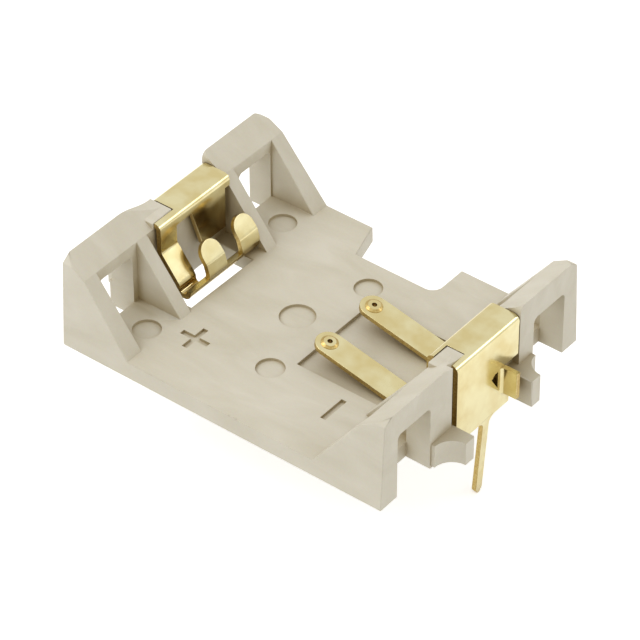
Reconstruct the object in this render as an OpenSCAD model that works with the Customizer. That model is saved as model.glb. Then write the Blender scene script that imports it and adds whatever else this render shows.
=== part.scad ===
// Coin cell holder for a 12.5 mm button cell: a moulded cradle with two
// stamped spring contacts, each ending in one solder pin.
// Millimetres. X runs from the positive end (-X) to the negative end (+X),
// Y from front to back, Z up. The origin is the middle of the underside,
// on the face of the circuit board.

/* [Cell] */
// Diameter of the cell that the cradle is made for
cell_d = 12.5; // [11.6:0.1:13.5]
// Room between the cell's edge and the feet of the inner ribs
cell_clear = 0.1; // [0.05:0.05:0.4]

/* [Housing] */
// Length from outer wall face to outer wall face
housing_l = 18.8; // [18.4:0.1:20]
// Width from front to back at the underside
housing_w = 15.1; // [14.2:0.1:16.5]
// Height of the outer ridge above the board
housing_h = 5.1; // [4.9:0.05:5.6]
// Thickness of the floor
floor_t = 0.92; // [0.8:0.02:1.1]
// Thickness of the end walls
wall_t = 1.34; // [1.2:0.02:1.5]
// How far the top of an end wall slopes down towards the cell
top_drop = 0.78; // [0.6:0.02:1]
// Mould draft of the front and back faces, in degrees
draft = 4; // [2:0.5:5]
// Radius of the rounded ridge corners
ridge_r = 0.35; // [0.2:0.05:0.5]

/* [Ribs] */
// Thickness of the four end ribs at the floor
end_rib_t = 1.05; // [0.9:0.05:1.3]
// Thickness of the ribs beside a contact
inner_rib_t = 0.76; // [0.6:0.02:0.9]
// Gap between the two ribs beside a contact
bay_w = 5.66; // [5.5:0.02:5.8]

/* [Windows] */
// Height of the side windows above the board
window_h = 3.68; // [3.2:0.02:3.8]
// Strip of wall left beside each inner rib
window_lip = 0.34; // [0.25:0.01:0.45]
// Radius of the upper window corners
window_r = 0.3; // [0.2:0.05:0.4]

/* [Saddle] */
// Depth of the dip in the wall top that carries a contact
saddle_depth = 0.72; // [0.6:0.02:0.9]
// Length of the ramp at the front end of the dip
saddle_ramp = 2.0; // [1.4:0.1:2.2]

/* [Floor details] */
// Depth of the rear notch in the floor
notch_depth = 2.22; // [1.8:0.02:2.6]
// Left end of the notch at its inner edge
notch_left = -2.05; // [-2.6:0.05:-1.5]
// Right end of the notch
notch_right = 2.72; // [2.2:0.02:3.2]
// How far the left side of the notch leans outwards
notch_lean = 0.62; // [0:0.02:0.8]
// Corner radius of the notch
notch_r = 0.6; // [0.3:0.05:0.9]
// Depth of the shallow marks in the floor
mark_depth = 0.14; // [0.08:0.01:0.2]
// Length of the strokes of the polarity marks
mark_len = 1.6; // [1.2:0.05:2]
// Width of the strokes of the polarity marks
mark_w = 0.3; // [0.2:0.02:0.45]
// Diameter of the ejector pin marks
ejector_d = 1.42; // [1:0.02:1.7]
// Diameter of the round recess near the middle of the floor
gate_d = 1.78; // [1.4:0.02:2.2]
// How far that recess sits towards the positive end
gate_shift = 1.34; // [0.9:0.02:1.7]
// Depth of the recess under the leaf springs
leaf_recess = 0.18; // [0.1:0.01:0.25]

/* [Horns] */
// How far the horns stand out from the end walls
horn_len = 1.22; // [0.9:0.02:1.4]
// Height of the top of the horns above the board
horn_h = 1.7; // [1.3:0.02:1.9]
// Gap between the horns and the board
horn_lift = 0.08; // [0.04:0.02:0.2]
// Width of a horn at its tip
horn_tip = 0.66; // [0.5:0.02:0.8]
// Radius of the flare on the outer side of a horn
horn_flare = 1.0; // [0.7:0.02:1.1]
// Distance between the middles of the two horns of one end
horn_pitch = 5.04; // [4.9:0.02:5.1]

/* [Contacts] */
// Thickness of the contact sheet
sheet_t = 0.26; // [0.2:0.01:0.3]
// Width of a contact where it is widest
contact_w = 4.76; // [4.5:0.02:4.9]
// Width of the band that crosses the wall top
band_w = 3.5; // [3.2:0.05:3.9]
// Sideways offset of the contacts from the middle of the holder
contact_y = 0.2; // [0.1:0.02:0.22]
// Radius of the sheet's bends at the middle of its thickness
bend_r = 0.32; // [0.26:0.02:0.36]
// Play between a contact and the plastic beside it
contact_gap = 0.06; // [0.04:0.01:0.08]
// Wider play at the front edge of the outer panels
panel_gap = 0.4; // [0.3:0.02:0.42]

/* [Leaf springs] */
// Width of a leaf
leaf_w = 1.4; // [1.1:0.02:1.6]
// Height of the middle of a leaf's tip above the floor, unloaded
leaf_rise = 0.96; // [0.7:0.02:1.3]
// Distance of the leaf tips' middles from the middle of the holder
leaf_reach = 1.64; // [1.2:0.02:2.2]
// Diameter of the pierced dimple at a leaf's tip
dimple_d = 0.84; // [0.6:0.02:1]
// Diameter of the hole through the dimple
dimple_hole = 0.26; // [0.2:0.02:0.35]
// Height of the dimple above the leaf
dimple_h = 0.1; // [0.06:0.01:0.16]

/* [Clip] */
// Width of the two spring fingers
finger_w = 1.34; // [1.1:0.02:1.5]
// Distance between the middles of the two fingers
finger_pitch = 2.4; // [2.1:0.02:2.5]
// Play between the fingers' knees and the cell
finger_play = 0.0; // [-0.1:0.02:0.2]
// Height of the fingers' knees above the board
knee_z = 2.06; // [1.8:0.02:2.3]
// Height of the middle of the fingers' rounded tips above the board
finger_tip_z = 2.7; // [2.5:0.02:3.1]
// How far the tips lean back from the knees
finger_lean = 0.34; // [0.2:0.02:0.5]
// Width of the arm that joins the wall top to the fingers
arm_w = 1.16; // [0.9:0.02:1.2]
// Depth of the back of the clip below the wall top
back_depth = 2.8; // [2:0.05:3.2]

/* [Ear] */
// Height of the lanced ear of the negative contact
ear_h = 1.24; // [0.9:0.02:1.3]
// Length of the ear
ear_len = 0.74; // [0.5:0.02:0.8]
// Height of the ear's lower edge above the board
ear_z = 0.92; // [0.7:0.02:1.1]

/* [Pins] */
// Length of the solder pins below the board face
pin_len = 4.7; // [3.2:0.1:5]
// Width of the solder pins
pin_w = 0.48; // [0.4:0.02:0.7]
// Inward lean of the pins, in degrees
pin_lean = 4; // [0:0.5:5]

/* [Hidden] */
$fn = 48;
eps = 0.01;
over = 2;                 // how far a cutter runs past what it cuts

half_l = housing_l / 2;
half_w = housing_w / 2;
inner_x = half_l - wall_t;                  // inner face of an end wall
top_half_w = half_w - housing_h * tan(draft);

bay = bay_w / 2;
inner_rib_out = bay + inner_rib_t;
// The feet of the ribs leave a cradle that the round cell just drops into
foot_x = sqrt(pow(cell_d / 2, 2) - pow(inner_rib_out - inner_rib_t / 2, 2)) + cell_clear;
window_in = inner_rib_out + window_lip;
end_rib_in = half_w - floor_t * tan(draft) - end_rib_t;
window_out = end_rib_in - window_lip / 4;

saddle_z = housing_h - saddle_depth;
panel_x = half_l - sheet_t / 2;                   // middle of an outer panel
recess_x = panel_x - bend_r - eps;                // floor of the recess behind it
inner_panel_x = inner_x - bend_r - contact_gap;   // middle of an inner panel
plate_z = saddle_z + sheet_t / 2;                 // middle of the band on the wall top
contact_front = contact_y - contact_w / 2;
contact_back = contact_y + contact_w / 2;
band_y = contact_back - band_w / 2;               // the band is flush at the back

bed_z = floor_t - leaf_recess;                    // bottom of the leaf springs' bed
bed_margin = 0.3;                                 // bed beside the leaf springs
bed_front = contact_front - 0.55;                 // front edge of the bed
leaf_base_z = bed_z + sheet_t / 2;                // middle of the sheet on the bed
leaf_root_x = foot_x + 0.45;                      // where the leaves leave the bed
leaf_pitch = contact_w - leaf_w;
bed_x = leaf_reach - leaf_w / 2 - bed_margin / 2;

clip_y = contact_y / 4;                           // middle of the clip
clip_front = clip_y - contact_w / 2;
clip_back = clip_y + contact_w / 2;
knee_x = cell_d / 2 + finger_play + sheet_t / 2;
finger_tip_x = knee_x + finger_lean;
loop_z = floor_t + contact_gap + sheet_t / 2;     // bottom of the clip's loop
loop_in = knee_x + 0.1;
loop_out = loop_in + 2 * bend_r + 0.08;
back_z = plate_z - back_depth;
neck_z = plate_z - 0.85;                          // where arm and back part
back_front = clip_front + arm_w + 0.12;
loop_back = bay - contact_gap;                    // rear end of the loop
finger_y = loop_back - finger_w / 2;              // middle of the rear finger

// The opening in the floor under the clip
slot_in = foot_x + 0.2;
slot_front = -bay + 0.23;
slot_back = bay - 0.83;

ear_y = horn_pitch / 2 - horn_tip / 2 - 0.86;     // bend line of the ear
ear_relief = 0.45;                                // width of the relief cut beside it

mark_x = 4.1;
mark_y = 4.2;
ejector_x = 6.3;
ejector_y = 5.08;
ejector_mid_y = 3.7;

// ---- Sheet metal bent from a list of corners ----

function unit(v) = v / norm(v);

// Points of the bend of radius r at corner b between the legs to a and to c
function bend(a, b, c, r, steps = 6) =
    let (u = unit(a - b), w = unit(c - b),
         half = acos(max(-1, min(1, u * w))) / 2,
         centre = b + unit(u + w) * r / sin(half),
         v0 = b + u * r / tan(half) - centre,
         v1 = b + w * r / tan(half) - centre,
         sweep = 180 - 2 * half)
    [for (i = [0:steps])
        centre + (sin(sweep * (1 - i / steps)) * v0 + sin(sweep * i / steps) * v1) / sin(sweep)];

// The middle line of a strip: straight legs joined by bends
function centre_line(p, r) =
    concat([p[0]],
           [for (i = [1:len(p) - 2]) each bend(p[i - 1], p[i], p[i + 1], r)],
           [p[len(p) - 1]]);

function side(v) = [-v[1], v[0]];

// Mitred offset of point i of a line by distance d
function shifted(p, i, d) =
    let (n = len(p) - 1,
         a = side(unit(p[min(i + 1, n)] - p[min(i, n - 1)])),
         b = side(unit(p[max(i, 1)] - p[max(i - 1, 0)])),
         m = unit(a + b))
    p[i] + m * d / (m * a);

function strip_outline(p, t) =
    concat([for (i = [0:len(p) - 1]) shifted(p, i, t / 2)],
           [for (i = [len(p) - 1:-1:0]) shifted(p, i, -t / 2)]);

// A strip of sheet whose edge line lies in the XZ plane and is w wide in Y
module strip(corners, w, y = 0, r = bend_r) {
    translate([0, y, 0])
        rotate([90, 0, 0])
            linear_extrude(w, center = true)
                polygon(strip_outline(centre_line(corners, r), sheet_t));
}

// A shape drawn in YZ and pushed through from x0 to x1
module along_x(x0, x1) {
    translate([x0, 0, 0])
        rotate([90, 0, 90])
            linear_extrude(x1 - x0)
                children();
}

// A shape drawn in XZ and pushed through from y0 to y1
module along_y(y0, y1) {
    translate([0, y1, 0])
        rotate([90, 0, 0])
            linear_extrude(y1 - y0)
                children();
}

module both_ends() {
    children();
    mirror([1, 0, 0]) children();
}

module front_and_back() {
    children();
    mirror([0, 1, 0]) children();
}

// ---- Housing ----

// Section of an end wall: a sloping top, then a slanted rib down to the floor
module rib_section() {
    polygon([[half_l, 0], [half_l, housing_h], [inner_x, housing_h - top_drop],
             [foot_x, floor_t], [foot_x, 0]]);
}

module wall_section() {
    polygon([[half_l, 0], [half_l, housing_h], [inner_x, housing_h - top_drop], [inner_x, 0]]);
}

// The drafted outline that the mould gives to the front and back
module envelope() {
    polygon([[-half_w, -eps], [half_w, -eps],
             [top_half_w + ridge_r * 0.3, housing_h - ridge_r],
             [top_half_w - ridge_r, housing_h],
             [-top_half_w + ridge_r, housing_h],
             [-top_half_w - ridge_r * 0.3, housing_h - ridge_r]]);
}

module end_ribs() {
    front_and_back()
        along_y(end_rib_in, half_w)
            rib_section();
}

module inner_ribs() {
    front_and_back()
        along_y(bay, inner_rib_out)
            rib_section();
}

// Window with two rounded upper corners, drawn in YZ
module window_shape() {
    w = window_out - window_in;
    translate([window_in, -over]) square([w, over + window_h - window_r]);
    translate([window_in + window_r, 0]) square([w - 2 * window_r, window_h]);
    for (y = [window_in + window_r, window_out - window_r])
        translate([y, window_h - window_r]) circle(window_r);
}

// The dip in the wall top: a long ramp at the front, a square shoulder behind
module saddle_shape() {
    polygon([[-bay - saddle_ramp * 0.25, housing_h + over],
             [-bay - saddle_ramp * 0.25, housing_h],
             [-bay + saddle_ramp * 0.2, saddle_z + saddle_depth * 0.55],
             [-bay + saddle_ramp * 0.75, saddle_z],
             [contact_back + contact_gap, saddle_z],
             [contact_back + contact_gap, housing_h - ridge_r],
             [contact_back + contact_gap + ridge_r, housing_h],
             [contact_back + contact_gap + ridge_r, housing_h + over]]);
}

// Recess in the outer face that takes a contact's outer panel
module panel_recess() {
    translate([recess_x, contact_front - panel_gap, -over])
        cube([over, contact_w + panel_gap + contact_gap, housing_h + 2 * over]);
}

// A horn with a flat inner side and an outer side that flares into the wall
module horn() {
    root = half_l - wall_t / 2;
    translate([0, horn_pitch / 2, horn_lift])
        linear_extrude(horn_h - horn_lift)
            difference() {
                translate([root, -horn_tip / 2])
                    square([half_l + horn_len - root, horn_tip + horn_flare]);
                translate([half_l + horn_len, horn_tip / 2 + horn_flare])
                    circle(horn_flare);
            }
}

module horns() {
    front_and_back() horn();
}

module floor_slab() {
    translate([-inner_x, -half_w, 0])
        cube([2 * inner_x, housing_w, floor_t]);
}

module rear_notch() {
    inner_y = half_w - notch_depth;
    linear_extrude(3 * over, center = true)
        difference() {
            polygon([[notch_left, inner_y], [notch_right, inner_y],
                     [notch_right, half_w + over],
                     [notch_left - notch_lean * (1 + over / notch_depth), half_w + over]]);
            translate([notch_right - notch_r, inner_y])
                difference() {
                    square(notch_r);
                    translate([0, notch_r]) circle(notch_r);
                }
        }
}

// Opening in the floor below the clip
module clip_opening() {
    translate([-inner_x, slot_front, -over])
        cube([inner_x - slot_in, slot_back - slot_front, over + floor_t + eps]);
}

module floor_marks() {
    translate([0, 0, floor_t - mark_depth])
        linear_extrude(over) {
            // plus
            translate([-mark_x, -mark_y]) {
                square([mark_len, mark_w], center = true);
                square([mark_w, mark_len], center = true);
            }
            // minus
            translate([mark_x, -mark_y])
                square([mark_w, mark_len], center = true);
            translate([-gate_shift, 0]) circle(d = gate_d);
            for (x = [-1, 1], y = [-1, 1])
                translate([x * ejector_x, y * ejector_y]) circle(d = ejector_d);
            for (y = [-1, 1])
                translate([0, y * ejector_mid_y]) circle(d = ejector_d);
        }
}

// Shallow bed in the floor for the leaf springs
module leaf_bed() {
    translate([bed_x, bed_front, bed_z])
        cube([inner_x - bed_x, contact_back + bed_margin - bed_front, leaf_recess + eps]);
}

module cradle() {
    intersection() {
        union() {
            floor_slab();
            both_ends() {
                end_ribs();
                inner_ribs();
                along_y(-half_w, half_w) wall_section();
            }
        }
        along_x(-half_l - eps, half_l + eps) envelope();
    }
}

module housing() {
    color([0.80, 0.77, 0.69]) {
        difference() {
            cradle();
            both_ends() {
                front_and_back()
                    along_x(inner_x - eps, half_l + over) window_shape();
                along_x(inner_x - eps, half_l + over) saddle_shape();
                panel_recess();
            }
            rear_notch();
            clip_opening();
            floor_marks();
            difference() {
                leaf_bed();
                inner_ribs();
            }
        }
        both_ends() horns();
    }
}

// ---- Contacts ----

// A flat tongue of sheet with a round end, from one point in XZ to another
module tongue(from, to, w, y) {
    v = to - from;
    translate([to[0], y, to[1]])
        rotate([0, -atan2(v[1], v[0]), 0]) {
            translate([-norm(v), -w / 2, -sheet_t / 2])
                cube([norm(v), w, sheet_t]);
            cylinder(h = sheet_t, d = w, center = true);
        }
}

// The pin grows out of the outer panel's lower edge and leans inwards
module pin() {
    root = 0.3;
    half = pin_w / 2;
    translate([panel_x, contact_y, 0])
        rotate([0, pin_lean, 0])
            along_x(-sheet_t / 2, sheet_t / 2)
                polygon([[-half - root, root], [-half - root, 0], [-half - root * 0.3, -root * 0.4],
                         [-half, -root], [-half, -pin_len + half], [-half / 3, -pin_len],
                         [half / 3, -pin_len], [half, -pin_len + half], [half, -root],
                         [half + root * 0.3, -root * 0.4], [half + root, 0], [half + root, root]]);
}

// Outer panel, from the fold on the wall top down to the board face
module outer_panel(w, y) {
    difference() {
        translate([half_l - sheet_t, y - w / 2, 0])
            cube([sheet_t, w, plate_z - bend_r]);
        // room for the horn that stands beside the pin
        translate([half_l - over, horn_pitch / 2 - horn_tip / 2 - contact_gap, -over])
            cube([2 * over, w, over + horn_h + contact_gap]);
    }
    pin();
}

// The sheet's path from the outer panel over the wall top to an inner panel
module wall_band(low_z) {
    strip([[panel_x, plate_z - 2 * bend_r], [panel_x, plate_z],
           [inner_panel_x, plate_z], [inner_panel_x, low_z]], band_w, band_y);
}

module leaf(y) {
    root = [leaf_root_x, leaf_base_z];
    tip = [leaf_reach, floor_t + leaf_rise];
    v = tip - root;
    difference() {
        union() {
            strip([root + [0.6, 0], root, root + 0.3 * v], leaf_w, y);
            tongue(root + 0.25 * v, tip, leaf_w, y);
            translate([tip[0], y, tip[1]])
                rotate([0, 180 - atan2(v[1], v[0]), 0])
                    cylinder(h = sheet_t / 2 + dimple_h, d1 = dimple_d, d2 = dimple_d * 0.6);
        }
        translate([tip[0], y, tip[1]])
            rotate([0, 180 - atan2(v[1], v[0]), 0])
                cylinder(h = 2 * over, d = dimple_hole, center = true);
    }
}

// Ear lanced out of the outer panel beside a horn
module ear() {
    aim = [0.84, 0.54];
    translate([0, 0, ear_z])
        linear_extrude(ear_h)
            polygon(strip_outline(centre_line([[panel_x, ear_y - 0.4], [panel_x, ear_y],
                                               [panel_x, ear_y] + ear_len * aim], 0.22), sheet_t));
}

// What is missing from the panel where the ear was: its blank and a corner relief
module ear_blank() {
    along_x(half_l - over, half_l + over) {
        translate([ear_y + sheet_t, ear_z])
            square([ear_len - sheet_t, ear_h]);
        polygon([[ear_y - 0.16, ear_z + 0.1], [ear_y - 0.16, ear_z + ear_h],
                 [ear_y - 0.16 - ear_relief, ear_z + ear_h]]);
    }
}

module negative_contact() {
    color([0.80, 0.72, 0.42]) {
        difference() {
            outer_panel(contact_w, contact_y);
            ear_blank();
        }
        ear();
        // the fold of the outer panel is as wide as the panel
        strip([[panel_x, plate_z - 2 * bend_r], [panel_x, plate_z], [recess_x, plate_z]],
              contact_w, contact_y);
        wall_band(plate_z - 1);
        // down the inside of the wall and along the bed
        strip([[inner_panel_x, plate_z - 0.9], [inner_panel_x, leaf_base_z],
               [leaf_root_x, leaf_base_z]], contact_w, contact_y);
        for (s = [-1, 1])
            leaf(contact_y + s * leaf_pitch / 2);
    }
}

// A finger rises from the loop, bulges at its knee and leans back at its tip
module finger(y) {
    knee = [knee_x, knee_z];
    tip = [finger_tip_x, finger_tip_z];
    strip([[loop_in, loop_z + 0.2], knee, knee + (tip - knee) * 0.5], finger_w, y, 0.5);
    tongue(knee + (tip - knee) * 0.45, tip, finger_w, y);
}

module positive_contact() {
    color([0.80, 0.72, 0.42])
        mirror([1, 0, 0]) {
            outer_panel(band_w, band_y);
            wall_band(plate_z - 1);
            // wide fold on the inside, then the back of the clip
            strip([[inner_x - contact_gap / 2, plate_z], [inner_panel_x, plate_z],
                   [inner_panel_x, neck_z]], contact_w, clip_y);
            strip([[inner_panel_x, neck_z + 0.1], [inner_panel_x, back_z]],
                  clip_back - back_front, (clip_back + back_front) / 2);
            // arm down to the loop that carries the fingers
            strip([[inner_panel_x, neck_z + 0.1], [inner_panel_x, neck_z - 0.3],
                   [loop_out + 0.03, loop_z + 0.45]], arm_w, clip_front + arm_w / 2);
            strip([[loop_out + 0.03, loop_z + 0.45], [loop_out, loop_z], [loop_in, loop_z],
                   [loop_in, loop_z + 0.5]], loop_back - clip_front, (loop_back + clip_front) / 2);
            finger(finger_y);
            finger(finger_y - finger_pitch);
        }
}

housing();
positive_contact();
negative_contact();
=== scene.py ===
"""Looks, stage and camera for the coin cell holder, laid out as a Blender add-on."""
import math

import bmesh
import bpy
from mathutils import Matrix, Vector


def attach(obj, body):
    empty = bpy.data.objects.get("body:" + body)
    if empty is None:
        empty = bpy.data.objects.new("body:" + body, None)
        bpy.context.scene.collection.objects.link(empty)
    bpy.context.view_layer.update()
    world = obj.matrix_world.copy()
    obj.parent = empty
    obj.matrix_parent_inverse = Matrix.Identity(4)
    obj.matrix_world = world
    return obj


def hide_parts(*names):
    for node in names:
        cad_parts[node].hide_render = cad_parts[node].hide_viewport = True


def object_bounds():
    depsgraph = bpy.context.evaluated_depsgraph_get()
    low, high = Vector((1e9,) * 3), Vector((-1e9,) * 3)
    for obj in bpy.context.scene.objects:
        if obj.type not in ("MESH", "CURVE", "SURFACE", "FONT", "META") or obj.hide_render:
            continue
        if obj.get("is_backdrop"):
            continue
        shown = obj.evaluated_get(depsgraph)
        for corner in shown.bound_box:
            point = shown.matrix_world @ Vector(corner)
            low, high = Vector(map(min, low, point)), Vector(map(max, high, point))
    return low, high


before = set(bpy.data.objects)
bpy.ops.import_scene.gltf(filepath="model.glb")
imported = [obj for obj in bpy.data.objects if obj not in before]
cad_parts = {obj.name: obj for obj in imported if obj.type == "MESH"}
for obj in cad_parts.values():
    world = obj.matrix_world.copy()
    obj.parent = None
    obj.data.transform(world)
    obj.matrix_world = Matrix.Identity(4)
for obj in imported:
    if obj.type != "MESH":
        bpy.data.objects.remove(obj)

bl_info = {
    "name": "Coin Cell Holder",
    "version": (1, 0, 0),
    "blender": (4, 5, 0),
    "location": "View3D > Sidebar > Cell Holder",
    "description": "Dresses the moulded cradle and the stamped contacts of a coin cell holder",
    "category": "Object",
}

MM = 0.001
SMOOTH_BELOW = math.radians(22)
FLAT_BELOW = math.radians(0.5)

# Sizes in millimetres, shared by the plastic and the contacts that seat on it
SHEET_T = 0.26
BEND_R = 0.22
GAP = 0.06
LAP = 0.1                                 # how far joined solids run into each other
HALF_L = 9.4
INNER_X = 8.06
WALL_H = 5.1
WALL_DROP = 0.78
FLOOR_T = 0.92
BED_Z = 0.74
BAY = 2.83                                # half the bay between the inner ribs
SADDLE_Z = 4.38
PANEL_W = 4.7
BAND_W = 3.7
PANEL_X = HALF_L - SHEET_T / 2            # middle of the sheet outside a wall
INNER_PANEL_X = INNER_X - BEND_R - GAP    # middle of the sheet inside a wall
PLATE_Z = SADDLE_Z + SHEET_T / 2          # middle of the sheet on a wall top
PLATE_TOP = SADDLE_Z + SHEET_T
RECESS_X = PANEL_X - BEND_R - 0.01        # floor of the recess behind a panel
PANEL_BACK = BAY - GAP
PANEL_FRONT = PANEL_BACK - PANEL_W
BAND_FRONT = PANEL_BACK - BAND_W
SADDLE_FRONT = BAND_FRONT - GAP
SADDLE_BACK = BAY

HORN_SIDE = 2.19
HORN_H = 1.7
HORN_DROP = 0.26                          # the front horns are lower by this much
HORN_LIFT = 0.16                          # from the board face to the horns' underside

PIN_LEN = 4.7
PIN_W = 0.48
PIN_ROOT = 0.3
PIN_LEAN = math.radians(4)

LEAF_ROOT_X = 5.91
LEAF_TIP = (1.72, FLOOR_T + 0.84)
LEAF_W = 1.38
LEAF_PITCH = 3.36
LEAF_MIDDLE = 0.2
DIMPLE_R = 0.43
DIMPLE_TOP_R = 0.3
DIMPLE_RISE = 0.1
DIMPLE_FOOT = 0.02
DIMPLE_HOLE_R = 0.13

EAR_R = 0.3
EAR_LINE = 1.3
EAR_Z = 0.94
EAR_H = 1.48

CLIP_BACK = BAY - 0.4
CLIP_W = 4.76
ARM_W = 1.16
ARM_KNEE_Z = 3.0
ARM_BEND_R = 0.4
BACK_DEPTH = 2.8
NECK_Z = PLATE_Z - 0.5
KNEE_X = 5.96
KNEE_Z = 1.66
CREASE_Z = 2.2
FINGER_W = 1.3
FINGER_PITCH = 2.44
FINGER_LEAN = math.radians(36)
FINGER_TIP = 0.37
FINGER_BEND_R = 0.45
LOOP_R = 0.3
LOOP_Z = FLOOR_T + GAP + SHEET_T / 2

PAST = 1                                  # how far a cutting tool runs past what it cuts
THROUGH_PANEL = (9, 10)                   # from inside an outer panel to outside it


# ---- Colour and node helpers ----

def hex_to_linear(text):
    """An sRGB hex colour as a linear RGBA tuple."""
    channels = [int(text[i:i + 2], 16) / 255 for i in (1, 3, 5)]
    linear = [c / 12.92 if c <= 0.04045 else ((c + 0.055) / 1.055) ** 2.4 for c in channels]
    return (*linear, 1.0)


def add_node(tree, kind, settings=None, links=None):
    """Adds a node, sets its properties and unlinked inputs, and links the other inputs."""
    node = tree.nodes.new(kind)
    for key, value in (settings or {}).items():
        if isinstance(key, str) and hasattr(node, key):
            setattr(node, key, value)
        else:
            node.inputs[key].default_value = value
    for key, source in (links or {}).items():
        tree.links.new(source, node.inputs[key])
    return node


def new_material(name):
    """An empty node material and its tree."""
    material = bpy.data.materials.new(name)
    material.use_nodes = True
    material.node_tree.nodes.clear()
    return material, material.node_tree


def finish_surface(tree, shader):
    """Sends the shader to the material's output."""
    add_node(tree, "ShaderNodeOutputMaterial", links={"Surface": shader})


def white_background_rays(tree):
    """1 for rays that should meet a white background, 0 for those that light the holder."""
    path = add_node(tree, "ShaderNodeLightPath")
    seen = add_node(tree, "ShaderNodeMath", {"operation": "MAXIMUM"},
                    {0: path.outputs["Is Camera Ray"], 1: path.outputs["Is Glossy Ray"]})
    return add_node(tree, "ShaderNodeMath", {"operation": "MAXIMUM"},
                    {0: seen.outputs[0], 1: path.outputs["Is Transmission Ray"]}).outputs[0]


# ---- Materials ----

def moulded_plastic(settings):
    """Glass-filled liquid crystal polymer, injection moulded and left bare.
    It looks like unglazed stoneware: a warm grey with faint cloudy flow marks,
    a soft satin sheen and a grain that only shows where the light skims it."""
    material, tree = new_material("moulded_liquid_crystal_polymer")
    place = add_node(tree, "ShaderNodeTexCoord").outputs["Object"]
    # flow marks follow the fill from end to end, about 3 mm long and 1 mm wide
    flow_map = add_node(tree, "ShaderNodeMapping", {"Scale": (0.35, 1.0, 0.7)}, {"Vector": place})
    flow = add_node(tree, "ShaderNodeTexNoise",
                    {"Scale": 1 / (1.6 * MM), "Detail": 3.0, "Roughness": 0.55, "Distortion": 0.6},
                    {"Vector": flow_map.outputs["Vector"]})
    colour = add_node(tree, "ShaderNodeValToRGB", links={"Fac": flow.outputs["Fac"]})
    ramp = colour.color_ramp
    ramp.elements[0].position = 0.3
    ramp.elements[0].color = settings.shade_colour
    ramp.elements[1].position = 0.7
    ramp.elements[1].color = settings.light_colour
    # glass fibre ends are 0.01 mm across and are drawn 0.12 mm across to show at all
    fibre = add_node(tree, "ShaderNodeTexNoise",
                     {"Scale": 1 / (0.12 * MM), "Detail": 2.0, "Roughness": 0.6},
                     {"Vector": place})
    speckle = add_node(tree, "ShaderNodeMix",
                       {"data_type": "RGBA", "blend_type": "OVERLAY", "Factor": 0.10},
                       {6: colour.outputs["Color"], 7: fibre.outputs["Color"]})
    # painted shade: corners are darkened to tan by ambient occlusion over about 1 mm, in place of
    # the shade that falls there
    corner = add_node(tree, "ShaderNodeAmbientOcclusion", {"samples": 8, "Distance": 1.6 * MM})
    painted_corner_shade = add_node(tree, "ShaderNodeMapRange",
                    {"From Min": 0.3, "From Max": 0.9, "To Min": 0.8, "To Max": 0.0},
                    {"Value": corner.outputs["AO"]})
    body = add_node(tree, "ShaderNodeMix",
                    {"data_type": "RGBA", "blend_type": "MIX", 7: settings.corner_shade_colour},
                    {"Factor": painted_corner_shade.outputs["Result"], 6: speckle.outputs[2]})
    gloss = add_node(tree, "ShaderNodeMapRange",
                     {"To Min": settings.roughness - 0.06, "To Max": settings.roughness + 0.08},
                     {"Value": flow.outputs["Fac"]})
    bump = add_node(tree, "ShaderNodeBump", {"Strength": 0.25, "Distance": 0.02 * MM},
                    {"Height": fibre.outputs["Fac"]})
    shader = add_node(tree, "ShaderNodeBsdfPrincipled", {"IOR": 1.5},
                      {"Base Color": body.outputs[2], "Roughness": gloss.outputs["Result"],
                       "Normal": bump.outputs["Normal"]})
    finish_surface(tree, shader.outputs["BSDF"])
    return material


def plated_sheet(settings):
    """Phosphor bronze strip with a thin gold flash, rolled, plated and then stamped.
    It is bright and pale yellow, with faint rolling lines along the strip that
    stretch its reflections, and soft cloudy patches where the plating is thicker."""
    material, tree = new_material("gold_flashed_rolled_bronze")
    place = add_node(tree, "ShaderNodeTexCoord").outputs["Object"]
    # rolling lines run across Y and are drawn 0.08 mm apart, coarser than the real ones
    line_map = add_node(tree, "ShaderNodeMapping", {"Scale": (0.05, 1.0, 0.05)}, {"Vector": place})
    lines = add_node(tree, "ShaderNodeTexNoise",
                     {"Scale": 1 / (0.08 * MM), "Detail": 2.0, "Roughness": 0.6},
                     {"Vector": line_map.outputs["Vector"]})
    cloud = add_node(tree, "ShaderNodeTexNoise",
                     {"Scale": 1 / (1.1 * MM), "Detail": 2.0, "Roughness": 0.5},
                     {"Vector": place})
    colour = add_node(tree, "ShaderNodeValToRGB", links={"Fac": cloud.outputs["Fac"]})
    ramp = colour.color_ramp
    ramp.elements[0].position = 0.35
    ramp.elements[0].color = settings.plating_deep
    ramp.elements[1].position = 0.65
    ramp.elements[1].color = settings.plating_colour
    gloss = add_node(tree, "ShaderNodeMapRange",
                     {"To Min": settings.roughness - 0.04, "To Max": settings.roughness + 0.06},
                     {"Value": cloud.outputs["Fac"]})
    bump = add_node(tree, "ShaderNodeBump", {"Strength": 0.12, "Distance": 0.004 * MM},
                    {"Height": lines.outputs["Fac"]})
    # painted shade: folds and faces close to other parts are darkened brown by ambient occlusion,
    # about 1 mm wide, in place of shade and dark reflections
    fold = add_node(tree, "ShaderNodeAmbientOcclusion", {"samples": 8, "Distance": 2.0 * MM})
    painted_fold_shade = add_node(tree, "ShaderNodeMapRange",
                       {"From Min": 0.2, "From Max": 0.75, "To Min": 0.9, "To Max": 0.0},
                       {"Value": fold.outputs["AO"]})
    tone = add_node(tree, "ShaderNodeMix",
                    {"data_type": "RGBA", "blend_type": "MIX",
                     7: settings.fold_shade_colour},
                    {"Factor": painted_fold_shade.outputs["Result"], 6: colour.outputs["Color"]})
    shader = add_node(tree, "ShaderNodeBsdfPrincipled", {"Metallic": 1.0},
                      {"Base Color": tone.outputs[2], "Roughness": gloss.outputs["Result"],
                       "Normal": bump.outputs["Normal"]})
    finish_surface(tree, shader.outputs["BSDF"])
    return material


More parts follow.
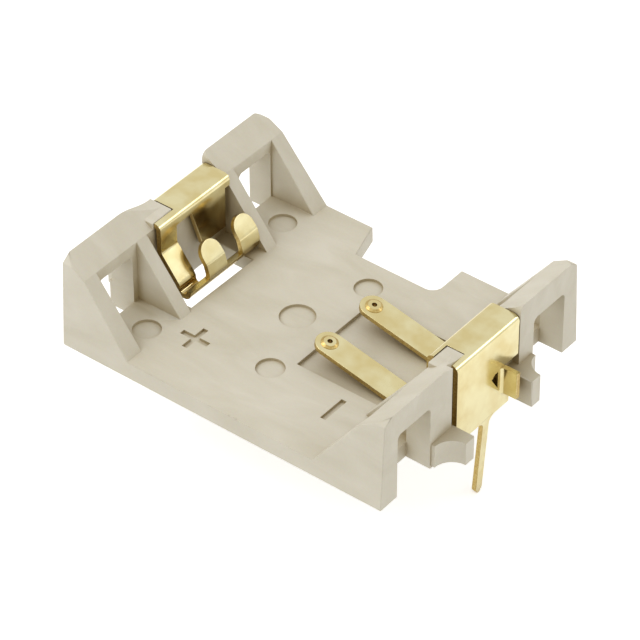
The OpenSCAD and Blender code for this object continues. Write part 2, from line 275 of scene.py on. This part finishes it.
def sheared_edge(settings):
    """The edge of the same strip where the stamping tool cut it: bare bronze,
    deeper in colour and duller than the plated faces, torn across its thickness."""
    material, tree = new_material("sheared_bronze_edge")
    place = add_node(tree, "ShaderNodeTexCoord").outputs["Object"]
    tear = add_node(tree, "ShaderNodeTexNoise",
                    {"Scale": 1 / (0.1 * MM), "Detail": 3.0, "Roughness": 0.6}, {"Vector": place})
    colour = add_node(tree, "ShaderNodeValToRGB", links={"Fac": tear.outputs["Fac"]})
    ramp = colour.color_ramp
    ramp.elements[0].position = 0.3
    ramp.elements[0].color = settings.edge_deep
    ramp.elements[1].position = 0.7
    ramp.elements[1].color = settings.edge_colour
    bump = add_node(tree, "ShaderNodeBump", {"Strength": 0.3, "Distance": 0.01 * MM},
                    {"Height": tear.outputs["Fac"]})
    shader = add_node(tree, "ShaderNodeBsdfPrincipled", {"Metallic": 1.0, "Roughness": 0.34},
                      {"Base Color": colour.outputs["Color"], "Normal": bump.outputs["Normal"]})
    finish_surface(tree, shader.outputs["BSDF"])
    return material


# ---- Mesh helpers ----

def merged_copy(node, name):
    """A copy of a CAD node's mesh with its doubles merged and its flat faces joined."""
    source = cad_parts[node]
    work = bmesh.new()
    work.from_mesh(source.data)
    bmesh.ops.remove_doubles(work, verts=work.verts, dist=0.0005 * MM)
    bmesh.ops.dissolve_limit(work, angle_limit=FLAT_BELOW, verts=work.verts, edges=work.edges)
    mesh = bpy.data.meshes.new(name)
    work.to_mesh(mesh)
    work.free()
    piece = bpy.data.objects.new(name, mesh)
    bpy.context.scene.collection.objects.link(piece)
    return piece


def along_x(u, v, depth):
    """Place of a point drawn in YZ and pushed along X."""
    return depth, u, v


def along_y(u, v, depth):
    """Place of a point drawn in XZ and pushed along Y."""
    return u, depth, v


def along_z(u, v, depth):
    """Place of a point drawn in XY and pushed along Z."""
    return u, v, depth


def prism(outline, low, high, place):
    """A closed solid from a drawn outline, in millimetres, pushed from low to high."""
    work = bmesh.new()
    rings = [[work.verts.new(Vector(place(u, v, depth)) * MM) for u, v in outline]
             for depth in (low, high)]
    for ring in rings:
        work.faces.new(ring)
    for i in range(len(outline)):
        j = (i + 1) % len(outline)
        work.faces.new((rings[0][i], rings[0][j], rings[1][j], rings[1][i]))
    bmesh.ops.recalc_face_normals(work, faces=work.faces)
    return finished(work, "solid")


def block(x, y, z):
    """A box between pairs of limits."""
    return prism([(x[0], y[0]), (x[1], y[0]), (x[1], y[1]), (x[0], y[1])], z[0], z[1], along_z)


def finished(work, name):
    """The object that a bmesh becomes."""
    mesh = bpy.data.meshes.new(name)
    work.to_mesh(mesh)
    work.free()
    piece = bpy.data.objects.new(name, mesh)
    bpy.context.scene.collection.objects.link(piece)
    return piece


def combine(piece, tools, operation):
    """Adds the tools to the piece or cuts them from it, and removes them."""
    for tool in tools:
        cut = piece.modifiers.new("combine", "BOOLEAN")
        cut.operation = operation
        cut.solver = "MANIFOLD"
        cut.object = tool
        graph = bpy.context.evaluated_depsgraph_get()
        mesh = bpy.data.meshes.new_from_object(piece.evaluated_get(graph))
        piece.modifiers.clear()
        piece.data = mesh
        bpy.data.objects.remove(tool)
    return piece


def joined(piece):
    """The piece with its doubles merged and its flat faces joined."""
    work = bmesh.new()
    work.from_mesh(piece.data)
    bmesh.ops.remove_doubles(work, verts=work.verts, dist=0.002 * MM)
    bmesh.ops.dissolve_limit(work, angle_limit=FLAT_BELOW, verts=work.verts, edges=work.edges)
    work.to_mesh(piece.data)
    work.free()
    return piece


def mirrored(piece):
    """The piece mirrored end for end."""
    work = bmesh.new()
    work.from_mesh(piece.data)
    for vert in work.verts:
        vert.co.x = -vert.co.x
    bmesh.ops.reverse_faces(work, faces=work.faces)
    work.to_mesh(piece.data)
    work.free()
    return piece


# ---- Sheet metal ----

def bend(a, b, c, radius, steps=8):
    """Points of the bend that rounds corner b between a and c."""
    to_a, to_c = (a - b).normalized(), (c - b).normalized()
    half = to_a.angle(to_c) / 2
    centre = b + (to_a + to_c).normalized() * radius / math.sin(half)
    start = b + to_a * radius / math.tan(half) - centre
    end = b + to_c * radius / math.tan(half) - centre
    sweep = math.pi - 2 * half
    return [centre + (math.sin(sweep * (1 - i / steps)) * start
                      + math.sin(sweep * i / steps) * end) / math.sin(sweep)
            for i in range(steps + 1)]


def centre_line(corners, radius):
    """The middle line of a strip: straight legs joined by bends."""
    corners = [Vector(corner) for corner in corners]
    line = [corners[0]]
    for a, b, c in zip(corners, corners[1:], corners[2:]):
        line += bend(a, b, c, radius)
    return line + [corners[-1]]


def strip_outline(line, thickness):
    """Outline of a sheet seen on edge, from its middle line."""
    def offset(i, distance):
        last = len(line) - 1
        before = (line[max(i, 1)] - line[max(i - 1, 0)]).normalized().orthogonal()
        after = (line[min(i + 1, last)] - line[min(i, last - 1)]).normalized().orthogonal()
        mean = (before + after).normalized()
        return line[i] + mean * distance / mean.dot(after)
    there = [offset(i, thickness / 2) for i in range(len(line))]
    back = [offset(i, -thickness / 2) for i in reversed(range(len(line)))]
    return there + back


def strip(corners, low, high, radius=BEND_R):
    """A strip of sheet bent along its corners, from low to high across."""
    return prism(strip_outline(centre_line(corners, radius), SHEET_T), low, high, along_y)


def round_tongue(start, end, width, y):
    """A flat tongue of sheet with a round end, between two points in XZ."""
    reach = (end - start).length
    along = (end - start).normalized()
    steps = 20
    outline = [(-reach, width / 2), (-reach, -width / 2)]
    outline += [(math.sin(math.pi * i / steps) * width / 2,
                 -math.cos(math.pi * i / steps) * width / 2) for i in range(steps + 1)]
    up = Vector((-along.y, along.x))

    def place(u, v, depth):
        spot = end + along * u + up * depth
        return spot.x, y + v, spot.y
    return prism(outline, -SHEET_T / 2, SHEET_T / 2, place)


def stub(centre, tilt, low, high, radius_low, radius_high):
    """A round stub or hole tool, in millimetres, that stands on a tilted leaf."""
    work = bmesh.new()
    turn = Matrix.Rotation(tilt, 4, "Y")
    up = Matrix.Translation((0, 0, (low + high) / 2 * MM))
    middle = Matrix.Translation(Vector(centre) * MM) @ turn @ up
    bmesh.ops.create_cone(work, cap_ends=True, segments=32, radius1=radius_low * MM,
                          radius2=radius_high * MM, depth=(high - low) * MM, matrix=middle)
    return finished(work, "stub")


def mark_cut_edges(piece):
    """Gives the second material to the narrow surfaces that the stamping tool cut."""
    work = bmesh.new()
    work.from_mesh(piece.data)
    left = set(work.faces)
    while left:
        first = left.pop()
        surface, queue = {first}, [first]
        while queue:
            for edge in queue.pop().edges:
                if edge.calc_face_angle(math.pi) < SMOOTH_BELOW:
                    fresh = set(edge.link_faces) & left
                    left -= fresh
                    surface |= fresh
                    queue += fresh
        area = sum(face.calc_area() for face in surface)
        rim = sum(edge.calc_length() for face in surface for edge in face.edges
                  if sum(near in surface for near in edge.link_faces) == 1)
        flat = abs(first.normal.z) > 0.9
        if area < rim * SHEET_T * 0.55 * MM and not flat:
            for face in surface:
                face.material_index = 1
    work.to_mesh(piece.data)
    work.free()


# ---- Shapes of the plastic ----

def saddle_outline():
    """What is cut from a wall top: a smooth ramp, the band's seat and a rounded shoulder."""
    steps = 14
    ramp, shoulder, above = 2.3, 0.35, WALL_H + PAST
    front = SADDLE_FRONT - ramp - GAP
    slope = [(front + ramp * i / steps,
              WALL_H - (WALL_H - PLATE_TOP) * (1 - math.cos(math.pi * i / steps)) / 2)
             for i in range(steps + 1)]
    seat = [(SADDLE_FRONT, PLATE_TOP), (SADDLE_FRONT, SADDLE_Z), (SADDLE_BACK, SADDLE_Z)]
    rounded = bend(Vector((SADDLE_BACK, SADDLE_Z)), Vector((SADDLE_BACK, WALL_H)),
                   Vector((SADDLE_BACK + 2, WALL_H)), shoulder)
    return [(front, above), *slope, *seat, *rounded, (SADDLE_BACK + shoulder, above)]


def wall_top_fill():
    """Solid wall with its sloping top behind the ramp and shoulder, and a flat land."""
    wall_front, wall_back = -3.5, 3.3
    land_front, land_low = -BAY + 0.43, 1
    section = [(INNER_X, 0), (HALF_L, 0), (HALF_L, WALL_H), (INNER_X, WALL_H - WALL_DROP)]
    return [prism(section, wall_front, wall_back, along_y),
            block((INNER_X, HALF_L), (land_front, SADDLE_BACK), (land_low, PLATE_TOP))]


def wall_top_cuts(recess_front):
    """The saddle, the recess behind the outer panel, and what is off the horns."""
    outside, reach, front_horn_end = HALF_L + 2, 5, -1
    return [prism(saddle_outline(), INNER_X - PAST, HALF_L + PAST, along_x),
            block((RECESS_X, HALF_L), (recess_front, SADDLE_BACK), (-PAST, WALL_H + PAST)),
            block((HALF_L, outside), (-reach, front_horn_end), (HORN_H - HORN_DROP, WALL_H)),
            block((HALF_L, outside), (-reach, reach), (-PAST, HORN_LIFT))]


def horn_roots():
    """The parts of the horns that stand in the recess beside the panel."""
    depth = (RECESS_X - LAP, HALF_L + LAP)
    return [block(depth, (HORN_SIDE, SADDLE_BACK + 0.01), (HORN_LIFT, HORN_H)),
            block(depth, (-SADDLE_BACK, -HORN_SIDE), (HORN_LIFT, HORN_H - HORN_DROP))]


def scar_tree(material):
    """Geometry Nodes: a row of small torn lumps where the gates were broken off."""
    tree = bpy.data.node_groups.new("degating_scars", "GeometryNodeTree")
    sockets = {}
    for name, kind in (("Start", "NodeSocketVector"), ("Count", "NodeSocketInt"),
                       ("Pitch", "NodeSocketFloat"), ("Spread", "NodeSocketVector"),
                       ("Smallest", "NodeSocketVector"), ("Largest", "NodeSocketVector"),
                       ("Seed", "NodeSocketInt")):
        socket = tree.interface.new_socket(name=name, in_out="INPUT", socket_type=kind)
        sockets[name] = socket.identifier
    tree.interface.new_socket(name="Geometry", in_out="OUTPUT", socket_type="NodeSocketGeometry")
    given = add_node(tree, "NodeGroupInput").outputs
    step = add_node(tree, "ShaderNodeCombineXYZ", links={"X": given["Pitch"]})
    row = add_node(tree, "GeometryNodeMeshLine", {"mode": "OFFSET"},
                   {"Count": given["Count"], "Start Location": given["Start"],
                    "Offset": step.outputs[0]})
    back = add_node(tree, "ShaderNodeVectorMath", {"operation": "SCALE", "Scale": -1.0},
                    {0: given["Spread"]})
    shift = add_node(tree, "FunctionNodeRandomValue", {"data_type": "FLOAT_VECTOR"},
                     {"Min": back.outputs[0], "Max": given["Spread"], "Seed": given["Seed"]})
    points = add_node(tree, "GeometryNodeSetPosition", None,
                      {"Geometry": row.outputs[0], "Offset": shift.outputs[0]})
    lump = add_node(tree, "GeometryNodeMeshIcoSphere", {"Radius": 1.0, "Subdivisions": 2})
    size = add_node(tree, "FunctionNodeRandomValue", {"data_type": "FLOAT_VECTOR"},
                    {"Min": given["Smallest"], "Max": given["Largest"], "Seed": given["Seed"]})
    tilt = add_node(tree, "FunctionNodeRandomValue",
                    {"data_type": "FLOAT_VECTOR",
                     "Min": (0.0, -0.7, -0.2), "Max": (0.0, 0.7, 0.2)},
                    {"Seed": given["Seed"]})
    lumps = add_node(tree, "GeometryNodeInstanceOnPoints", None,
                     {"Points": points.outputs[0], "Instance": lump.outputs[0],
                      "Rotation": tilt.outputs[0], "Scale": size.outputs[0]})
    real = add_node(tree, "GeometryNodeRealizeInstances", None, {0: lumps.outputs[0]})
    dressed = add_node(tree, "GeometryNodeSetMaterial", {"Material": material},
                       {"Geometry": real.outputs[0]})
    add_node(tree, "NodeGroupOutput", None, {0: dressed.outputs[0]})
    return tree, sockets


def degating_scars(material, settings):
    """The scars along the front edge of the floor, as a plain mesh."""
    tree, sockets = scar_tree(material)
    seat = bpy.data.objects.new("degating_scars", bpy.data.meshes.new("seat"))
    bpy.context.scene.collection.objects.link(seat)
    nodes = seat.modifiers.new("scars", "NODES")
    nodes.node_group = tree
    values = {"Start": Vector((-4.2, -7.49, 0.55)) * MM, "Count": settings.scar_count,
              "Pitch": 6.6 * MM / settings.scar_count, "Spread": Vector((0.2, 0.008, 0.36)) * MM,
              "Smallest": Vector((0.03, 0.01, 0.02)) * MM,
              "Largest": Vector((0.16, 0.03, 0.09)) * MM,
              "Seed": settings.scar_seed}
    for name, value in values.items():
        nodes[sockets[name]] = value
    graph = bpy.context.evaluated_depsgraph_get()
    mesh = bpy.data.meshes.new_from_object(seat.evaluated_get(graph))
    seat.modifiers.clear()
    seat.data = mesh
    return seat


# ---- Shapes of the contacts ----

def pin(y):
    """The solder pin, leaning in below the board."""
    root, half = PIN_ROOT, PIN_W / 2
    right = [(half / 3, -PIN_LEN), (half, half - PIN_LEN), (half, -root),
             (half + root * 0.3, -root * 0.4), (half + root, 0), (half + root, 0.05)]
    outline = [(-u, v) for u, v in reversed(right)] + right

    def place(u, v, depth):
        return (PANEL_X + depth * math.cos(PIN_LEAN) + v * math.sin(PIN_LEAN), y + u,
                v * math.cos(PIN_LEAN) - depth * math.sin(PIN_LEAN))
    return prism(outline, -SHEET_T / 2, SHEET_T / 2, place)


def outer_panel(front):
    """The panel on the outside of the wall, with room for the horn beside its pin."""
    panel = block((HALF_L - SHEET_T, HALF_L), (front, PANEL_BACK), (0, PLATE_Z - BEND_R))
    room = block(THROUGH_PANEL, (HORN_SIDE - GAP, 5), (-PAST, HORN_H + GAP))
    return combine(panel, [room], "DIFFERENCE")


def wall_band():
    """The sheet over the wall top, from the outer panel to an inner one."""
    return strip([(PANEL_X, PLATE_Z - 2 * BEND_R), (PANEL_X, PLATE_Z), (INNER_PANEL_X, PLATE_Z),
                  (INNER_PANEL_X, NECK_Z)], BAND_FRONT, PANEL_BACK)


def leaf(y):
    """One leaf spring with its pierced dimple, and the tool for the hole."""
    root, tip = Vector((LEAF_ROOT_X, BED_Z + SHEET_T / 2)), Vector(LEAF_TIP)
    reach = tip - root
    tilt = math.pi - math.atan2(reach.y, reach.x)
    spot = (tip.x, y, tip.y)
    face = SHEET_T / 2
    solids = [strip([root + Vector((0.6, 0)), root, root + 0.3 * reach],
                    y - LEAF_W / 2, y + LEAF_W / 2),
              round_tongue(root + 0.25 * reach, tip, LEAF_W, y),
              stub(spot, tilt, 0, face + DIMPLE_FOOT, DIMPLE_R, DIMPLE_R),
              stub(spot, tilt, face + DIMPLE_FOOT, face + DIMPLE_RISE, DIMPLE_R, DIMPLE_TOP_R)]
    return solids, stub(spot, tilt, -PAST, PAST, DIMPLE_HOLE_R, DIMPLE_HOLE_R)


def ear():
    """The corner of the outer panel, bent out beside the rear horn."""
    line = centre_line([(PANEL_X, EAR_LINE - LAP), (PANEL_X, EAR_LINE + EAR_R),
                        (PANEL_X + 1.0, EAR_LINE + EAR_R)], EAR_R)
    return prism(strip_outline(line, SHEET_T), EAR_Z, EAR_Z + EAR_H, along_z)


def ear_blank():
    """What the ear left open in the panel, and the relief at its root."""
    start, top = EAR_LINE - LAP, EAR_Z + EAR_H
    relief = [(start, EAR_Z + 0.45), (start, top - LAP), (start - 0.22, top - LAP),
              (start - 0.45, top - 3 * LAP)]
    return [block(THROUGH_PANEL, (EAR_LINE, 5), (EAR_Z, top)),
            prism(relief, *THROUGH_PANEL, along_x)]


def negative_contact():
    """The contact with the two leaf springs."""
    base_z = BED_Z + SHEET_T / 2
    panel = combine(outer_panel(PANEL_FRONT), ear_blank(), "DIFFERENCE")
    solids = [ear(), pin(PANEL_BACK - PANEL_W / 2), wall_band(),
              strip([(PANEL_X, PLATE_Z - 2 * BEND_R), (PANEL_X, PLATE_Z), (RECESS_X, PLATE_Z)],
                    PANEL_FRONT, PANEL_BACK),
              strip([(INNER_X - GAP / 2, PLATE_Z), (INNER_PANEL_X, PLATE_Z),
                     (INNER_PANEL_X, base_z), (LEAF_ROOT_X, base_z)], PANEL_FRONT, PANEL_BACK)]
    holes = []
    for y in (LEAF_MIDDLE - LEAF_PITCH / 2, LEAF_MIDDLE + LEAF_PITCH / 2):
        parts, hole = leaf(y)
        solids += parts
        holes.append(hole)
    return combine(combine(panel, solids, "UNION"), holes, "DIFFERENCE")


def finger(high):
    """A spring finger: over its knee to a crease, and leaning back there to a round tip."""
    crease = Vector((KNEE_X + 0.16, CREASE_Z))
    along = Vector((math.sin(FINGER_LEAN), math.cos(FINGER_LEAN))) * FINGER_TIP
    return [strip([(KNEE_X + 0.06, LOOP_Z + LOOP_R), (KNEE_X, KNEE_Z), crease, crease + along],
                  high - FINGER_W, high, FINGER_BEND_R),
            round_tongue(crease + along / 2, crease + along, FINGER_W, high - FINGER_W / 2)]


def positive_contact():
    """The contact with the spring clip, built at the right and mirrored."""
    back, front, arm = CLIP_BACK, CLIP_BACK - CLIP_W, CLIP_BACK - CLIP_W + ARM_W
    back_low, slant = PLATE_Z - BACK_DEPTH, 0.75
    loop_in, loop_top = KNEE_X + 0.06, LOOP_Z + 0.36
    loop_out = loop_in + 2 * LOOP_R + 0.05
    hanging = prism([(arm + 1.1, NECK_Z + LAP), (arm + 1.1 + slant, back_low), (back, back_low),
                     (back, NECK_Z + LAP)],
                    INNER_PANEL_X - SHEET_T / 2, INNER_PANEL_X + SHEET_T / 2, along_x)
    solids = [pin(PANEL_BACK - PANEL_W / 2), wall_band(), hanging,
              strip([(INNER_X - GAP / 2, PLATE_Z), (INNER_PANEL_X, PLATE_Z),
                     (INNER_PANEL_X, NECK_Z)], front, back),
              strip([(INNER_PANEL_X, NECK_Z + LAP), (INNER_PANEL_X, ARM_KNEE_Z),
                     (loop_out, loop_top + LAP), (loop_out, LOOP_Z + LOOP_R)],
                    front, arm, ARM_BEND_R),
              strip([(loop_out, loop_top), (loop_out, LOOP_Z), (loop_in, LOOP_Z),
                     (loop_in, loop_top)], front, arm, LOOP_R),
              strip([(loop_out - LOOP_R, LOOP_Z), (loop_in, LOOP_Z), (loop_in, loop_top)],
                    front, PANEL_BACK, LOOP_R)]
    solids += finger(PANEL_BACK) + finger(PANEL_BACK - FINGER_PITCH)
    return mirrored(combine(outer_panel(BAND_FRONT), solids, "UNION"))


def soften(piece, radius, angle):
    """Rounds the piece's outer edges and shades its curves smooth.
    Edges that end beside others too short for the radius keep their corner."""
    work = bmesh.new()
    work.from_mesh(piece.data)
    weight = work.edges.layers.float.new("bevel_weight_edge")
    for face in work.faces:
        face.smooth = True
    for edge in work.edges:
        turn = edge.calc_face_angle(0.0)
        edge.smooth = turn < SMOOTH_BELOW
        shortest = min(near.calc_length() for end in edge.verts for near in end.link_edges)
        rounded = edge.is_convex and turn > angle and shortest > 4 * radius
        edge[weight] = 1.0 if rounded else 0.0
    work.to_mesh(piece.data)
    work.free()
    bevel = piece.modifiers.new("edge_radius", "BEVEL")
    bevel.width = radius
    bevel.segments = 2
    bevel.limit_method = "WEIGHT"
    bevel.harden_normals = True
    bevel.use_clamp_overlap = False


# ---- Settings ----

def colour_setting(name, description, text):
    """A colour that a user can change, with its default as sRGB hex."""
    return bpy.props.FloatVectorProperty(
        name=name, description=description, default=hex_to_linear(text),
        size=4, min=0, max=1, subtype="COLOR")


class HousingSettings(bpy.types.PropertyGroup):
    """What a user may change on the cradle"""
    light_colour: colour_setting(
        "Light Colour", "Plastic where the flow marks are pale", "#E0DACA")
    shade_colour: colour_setting(
        "Shade Colour", "Plastic where the flow marks are deep", "#D3CCB8")
    # painted shade: this colour darkens the corners of the plastic in place of shade
    corner_shade_colour: colour_setting(
        "Corner Shade Colour", "Shade painted into corners", "#9C8650")
    roughness: bpy.props.FloatProperty(
        name="Roughness", description="Mean roughness of the plastic", default=0.48, min=0, max=1)
    edge_radius: bpy.props.FloatProperty(
        name="Edge Radius", description="Radius that the tool gives to edges",
        default=0.06 * MM, unit="LENGTH")
    scar_count: bpy.props.IntProperty(
        name="Scars", description="Torn lumps along the front edge", default=34, min=1)
    scar_seed: bpy.props.IntProperty(
        name="Scar Seed", description="Picks another row of scars", default=5)


class ContactSettings(bpy.types.PropertyGroup):
    """What a user may change on the contacts"""
    plating_colour: colour_setting(
        "Plating", "Colour of the gold flash", "#DDD3A6")
    plating_deep: colour_setting(
        "Deep Plating", "Colour where the flash is thick", "#D2C28C")
    # painted shade: this colour darkens the folds in place of shade and dark reflections
    fold_shade_colour: colour_setting(
        "Fold Shade", "Brown shade painted inside the folds", "#8A6424")
    edge_colour: colour_setting(
        "Edge", "Bare bronze on the cut edges", "#CDB87A")
    edge_deep: colour_setting(
        "Deep Edge", "Darker tears in the cut edges", "#AE9050")
    roughness: bpy.props.FloatProperty(
        name="Roughness", description="Mean roughness of the plated faces", default=0.17,
        min=0, max=1)
    edge_radius: bpy.props.FloatProperty(
        name="Edge Radius", description="Rounding of the stamped edges",
        default=0.025 * MM, unit="LENGTH")


class StageSettings(bpy.types.PropertyGroup):
    """Floor, lamps, room and camera"""
    floor_colour: colour_setting(
        "Floor", "Colour of the paper floor", "#F5F6F8")
    floor_lift: bpy.props.FloatProperty(
        name="Floor Lift", description="Glow that the paper has for the eye alone", default=0.55)
    key_power: bpy.props.FloatProperty(
        name="Key", description="Power of the large lamp above the front", default=0.25,
        unit="POWER")
    rim_power: bpy.props.FloatProperty(
        name="Rim", description="Power of the small lamp behind the right", default=0.05,
        unit="POWER")
    room_level: bpy.props.FloatProperty(
        name="Room", description="Strength of the even light of the room", default=0.70)
    room_colour: colour_setting(
        "Room Colour", "Tint of the even light of the room", "#FFFDF8")
    lens: bpy.props.FloatProperty(
        name="Lens", description="Focal length for a 36 mm wide sensor, in millimetres",
        default=217.3)
    distance: bpy.props.FloatProperty(
        name="Distance", description="From the middle of the holder to the camera",
        default=181.3 * MM, unit="LENGTH")
    azimuth: bpy.props.FloatProperty(
        name="Azimuth", description="Camera's turn from the front towards +X",
        default=math.radians(38.4), subtype="ANGLE")
    elevation: bpy.props.FloatProperty(
        name="Elevation", description="Camera's height above the horizon",
        default=math.radians(39.77), subtype="ANGLE")
    roll: bpy.props.FloatProperty(
        name="Roll", description="Camera's turn about its own axis",
        default=math.radians(-0.19), subtype="ANGLE")
    rise: bpy.props.FloatProperty(
        name="Rise", description="Camera's shift up its picture plane",
        default=1.057 * MM, unit="LENGTH")


# ---- Operators ----

class CELLHOLDER_OT_housing(bpy.types.Operator):
    """Dress the moulded cradle"""
    bl_idname = "cellholder.housing"
    bl_label = "Housing"

    def execute(self, context):
        settings = context.scene.cellholder_housing
        piece = merged_copy("housing", "moulded_cradle")
        left, right = SADDLE_FRONT, PANEL_FRONT - 0.4
        fills = wall_top_fill() + [mirrored(fill) for fill in wall_top_fill()]
        cuts = wall_top_cuts(right) + [mirrored(cut) for cut in wall_top_cuts(left)]
        roots = horn_roots() + [mirrored(root) for root in horn_roots()]
        combine(combine(piece, fills, "UNION"), cuts, "DIFFERENCE")
        joined(combine(piece, roots, "UNION"))
        piece.data.materials.clear()
        plastic = moulded_plastic(settings)
        piece.data.materials.append(plastic)
        soften(piece, settings.edge_radius, math.radians(36))
        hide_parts("housing")
        for part in (piece, degating_scars(plastic, settings)):
            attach(part, "root")
        return {"FINISHED"}


class CELLHOLDER_OT_contacts(bpy.types.Operator):
    """Dress the two stamped contacts"""
    bl_idname = "cellholder.contacts"
    bl_label = "Contacts"

    def execute(self, context):
        settings = context.scene.cellholder_contacts
        faces_finish = plated_sheet(settings)
        edges_finish = sheared_edge(settings)
        for node, shape in (("positive_contact", positive_contact),
                            ("negative_contact", negative_contact)):
            piece = joined(shape())
            piece.name = "stamped_" + node
            piece.data.materials.clear()
            piece.data.materials.append(faces_finish)
            piece.data.materials.append(edges_finish)
            mark_cut_edges(piece)
            soften(piece, settings.edge_radius, math.radians(40))
            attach(piece, "root")
            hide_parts(node)
        return {"FINISHED"}


class CELLHOLDER_OT_stage(bpy.types.Operator):
    """Set the floor, the lamps and the camera"""
    bl_idname = "cellholder.stage"
    bl_label = "Stage"

    def execute(self, context):
        settings = context.scene.cellholder_stage
        self.floor(settings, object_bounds()[0][2])
        self.lamp("key_lamp", settings.key_power, 0.18, (-0.15, -0.12, 0.24))
        # stands where the rounded folds of the contacts reflect it as a bright line
        self.lamp("rim_lamp", settings.rim_power, 0.08, (0.19, 0.18, 0.14))
        self.room(context, settings)
        self.camera(context, settings)
        context.scene.view_settings.view_transform = "Standard"
        return {"FINISHED"}

    def floor(self, settings, level):
        """White paper under the tips of the pins."""
        half = 0.6
        mesh = bpy.data.meshes.new("paper_floor")
        corners = [(-half, -half), (half, -half), (half, half), (-half, half)]
        mesh.from_pydata([(x, y, level) for x, y in corners], [], [(0, 1, 2, 3)])
        material, tree = new_material("matt_white_paper")
        seen = white_background_rays(tree)
        # seen directly, the paper is lifted to white where no shadow falls
        lift = add_node(tree, "ShaderNodeMath", {"operation": "MULTIPLY", 1: settings.floor_lift},
                        {0: seen})
        paper = add_node(tree, "ShaderNodeBsdfDiffuse",
                         {"Color": settings.floor_colour})
        glow = add_node(tree, "ShaderNodeEmission", links={"Strength": lift.outputs[0]})
        both = add_node(tree, "ShaderNodeAddShader",
                        links={0: paper.outputs[0], 1: glow.outputs[0]})
        finish_surface(tree, both.outputs[0])
        mesh.materials.append(material)
        floor = bpy.data.objects.new("paper_floor", mesh)
        bpy.context.scene.collection.objects.link(floor)
        floor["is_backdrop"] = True

    def lamp(self, name, power, size, place):
        """A square lamp that faces the middle of the holder."""
        data = bpy.data.lights.new(name, "AREA")
        data.energy = power
        data.size = size
        lamp = bpy.data.objects.new(name, data)
        lamp.location = place
        lamp.rotation_euler = Vector(place).to_track_quat("Z", "Y").to_euler()
        bpy.context.scene.collection.objects.link(lamp)
        lamp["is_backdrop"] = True

    def room(self, context, settings):
        """Even light from all sides, in front of a white background."""
        world = bpy.data.worlds.new("studio_room")
        world.use_nodes = True
        tree = world.node_tree
        tree.nodes.clear()
        seen = white_background_rays(tree)
        level = add_node(tree, "ShaderNodeMapRange",
                         {"To Min": settings.room_level, "To Max": 1.0}, {"Value": seen})
        tint = add_node(tree, "ShaderNodeMix",
                        {"data_type": "RGBA", 6: settings.room_colour,
                         7: (1.0, 1.0, 1.0, 1.0)}, {"Factor": seen})
        light = add_node(tree, "ShaderNodeBackground", None,
                         {"Color": tint.outputs[2], "Strength": level.outputs["Result"]})
        add_node(tree, "ShaderNodeOutputWorld", links={"Surface": light.outputs[0]})
        context.scene.world = world

    def camera(self, context, settings):
        """A long lens from the right, in front and above."""
        data = bpy.data.cameras.new("camera")
        data.sensor_width = 36.0
        data.lens = settings.lens
        data.clip_start = 0.01
        data.clip_end = 10.0
        azimuth, elevation = settings.azimuth, settings.elevation
        back = Vector((math.sin(azimuth) * math.cos(elevation),
                       -math.cos(azimuth) * math.cos(elevation), math.sin(elevation)))
        right = Vector((math.cos(azimuth), math.sin(azimuth), 0.0))
        up = back.cross(right)
        turn = Matrix.Rotation(settings.roll, 3, back)
        right, up = turn @ right, turn @ up
        camera = bpy.data.objects.new("camera", data)
        basis = Matrix((right, up, back)).transposed().to_4x4()
        basis.translation = back * settings.distance + up * settings.rise
        camera.matrix_world = basis
        bpy.context.scene.collection.objects.link(camera)
        context.scene.camera = camera


class CELLHOLDER_PT_panel(bpy.types.Panel):
    """Buttons that build the holder's looks"""
    bl_idname = "CELLHOLDER_PT_panel"
    bl_label = "Cell Holder"
    bl_space_type = "VIEW_3D"
    bl_region_type = "UI"
    bl_category = "Cell Holder"

    def draw(self, context):
        for name in OPERATORS:
            self.layout.operator(f"cellholder.{name}")


OPERATORS = ("housing", "contacts", "stage")
SETTINGS = {"cellholder_housing": HousingSettings, "cellholder_contacts": ContactSettings,
            "cellholder_stage": StageSettings}
CLASSES = (*SETTINGS.values(), CELLHOLDER_OT_housing, CELLHOLDER_OT_contacts,
           CELLHOLDER_OT_stage, CELLHOLDER_PT_panel)


def register():
    for cls in CLASSES:
        bpy.utils.register_class(cls)
    for name, group in SETTINGS.items():
        setattr(bpy.types.Scene, name, bpy.props.PointerProperty(type=group))


def unregister():
    for name in SETTINGS:
        delattr(bpy.types.Scene, name)
    for cls in reversed(CLASSES):
        bpy.utils.unregister_class(cls)


def main():
    """Builds everything."""
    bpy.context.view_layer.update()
    register()
    for name in OPERATORS:
        getattr(bpy.ops.cellholder, name)()


if __name__ == "__main__":
    main()
